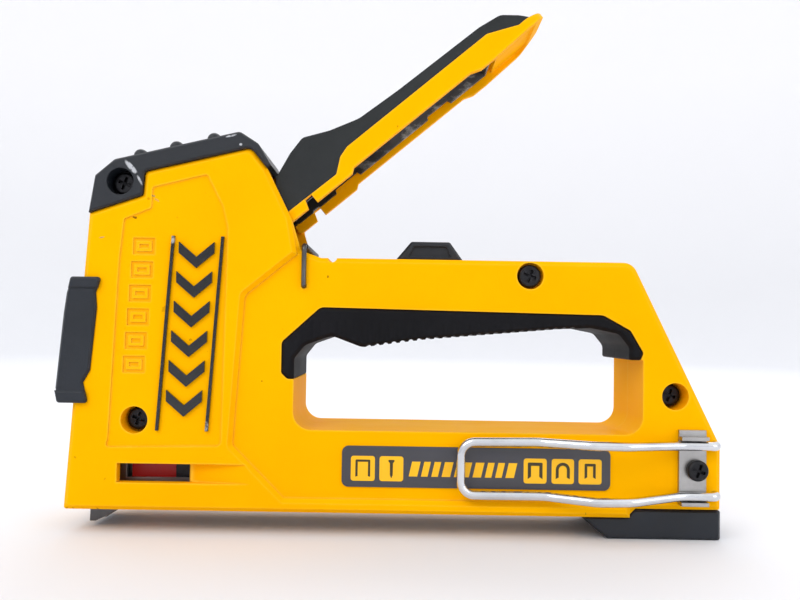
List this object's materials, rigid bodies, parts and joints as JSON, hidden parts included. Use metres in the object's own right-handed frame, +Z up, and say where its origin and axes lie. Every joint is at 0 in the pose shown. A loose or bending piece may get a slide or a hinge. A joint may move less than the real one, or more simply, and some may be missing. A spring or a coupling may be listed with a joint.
{
  "type": "staple gun",
  "caption": "Hand staple gun: leaning nose tower, squeeze lever on top, D-shaped grip opening, base magazine that slides out rearwards, side belt hook and wire lever lock.",
  "frame": {"origin": "centre of the bottom of the overall box, at the height of the magazine foot's sole with the lever open", "axes": "+Z up, the nose points to -X and the rear of the magazine to +X, and the belt hook is on the -Y side"},
  "size_m": [0.2028, 0.045, 0.1657],
  "materials": {
    "yellow": "satin moulded plastic",
    "black_plastic": "fine-textured moulded plastic",
    "soft_grip": "soft-touch overmould",
    "black_screw": "black oxide",
    "label": "printed film",
    "badge": "gloss raised print",
    "chrome_wire": "bright plated",
    "plated_steel": "zinc plated",
    "dark_steel": "blackened steel",
    "spring_steel": "oil tempered",
    "buffer_rubber": "matte",
    "red_plastic": "moulded plastic"
  },
  "bodies": {
    "root": {"left_housing": "yellow", "right_housing": "yellow", "top_cap": "black_plastic", "cap_screws": "black_screw", "housing_screws": "black_screw", "grip_insert_left": "soft_grip", "grip_insert_right": "soft_grip", "lever_bumper": "black_plastic", "label_plate": "label", "badge": "badge", "belt_hook": "chrome_wire", "hook_bracket": "plated_steel", "hook_screw": "black_screw", "drive_spring": "spring_steel", "spring_seat": "plated_steel", "stop_buffer": "buffer_rubber", "nose_plate": "dark_steel", "lever_pin": "plated_steel", "lever_return_spring": "spring_steel", "magazine_track": "plated_steel", "pusher_spring": "spring_steel"},
    "lever": {"lever_shell": "yellow", "lever_grip": "soft_grip", "lever_channel": "dark_steel"},
    "hammer": {"hammer": "dark_steel", "drive_blade": "plated_steel"},
    "power_selector": {"power_selector": "black_plastic"},
    "lock_bail": {"lock_bail": "chrome_wire", "bail_sleeve": "buffer_rubber"},
    "magazine": {"magazine_rail": "plated_steel", "magazine_foot": "black_plastic", "pusher_rod": "plated_steel"},
    "pusher": {"pusher": "red_plastic", "pusher_tail": "black_plastic"}
  },
  "joints": [
    {"name": "lever_squeeze", "type": "hinge", "parent": "root", "child": "lever", "pos_m": [-0.04665, 0.00282, 0.0972], "axis": [0, 1, 0], "range_deg": [0, 40], "stiffness_Nm_per_rad": 0.35, "springref_deg": -34.38},
    {"name": "hammer_slide", "type": "slide", "parent": "root", "child": "hammer", "axis": [0.0628, 0, 0.998], "range_m": [0, 0.01796], "deforming": ["drive_spring"]},
    {"name": "selector_slide", "type": "slide", "parent": "root", "child": "power_selector", "axis": [0.0628, 0, 0.998], "range_m": [0, 0.006]},
    {"name": "bail_swing", "type": "hinge", "parent": "root", "child": "lock_bail", "pos_m": [-0.02725, 0.00282, 0.0759], "axis": [0, 1, 0], "range_deg": [0, 44]},
    {"name": "magazine_slide", "type": "slide", "parent": "root", "child": "magazine", "axis": [1, 0, 0], "range_m": [0, 0.105]},
    {"name": "pusher_slide", "type": "slide", "parent": "magazine", "child": "pusher", "axis": [1, 0, 0], "range_m": [0, 0.088], "stiffness_N_per_m": 20, "springref_m": -0.05, "deforming": ["pusher_spring"]}
  ],
  "couplings": [
    {"joint": "hammer_slide", "follows": "lever_squeeze", "m_per_rad": 0.025442}
  ]
}
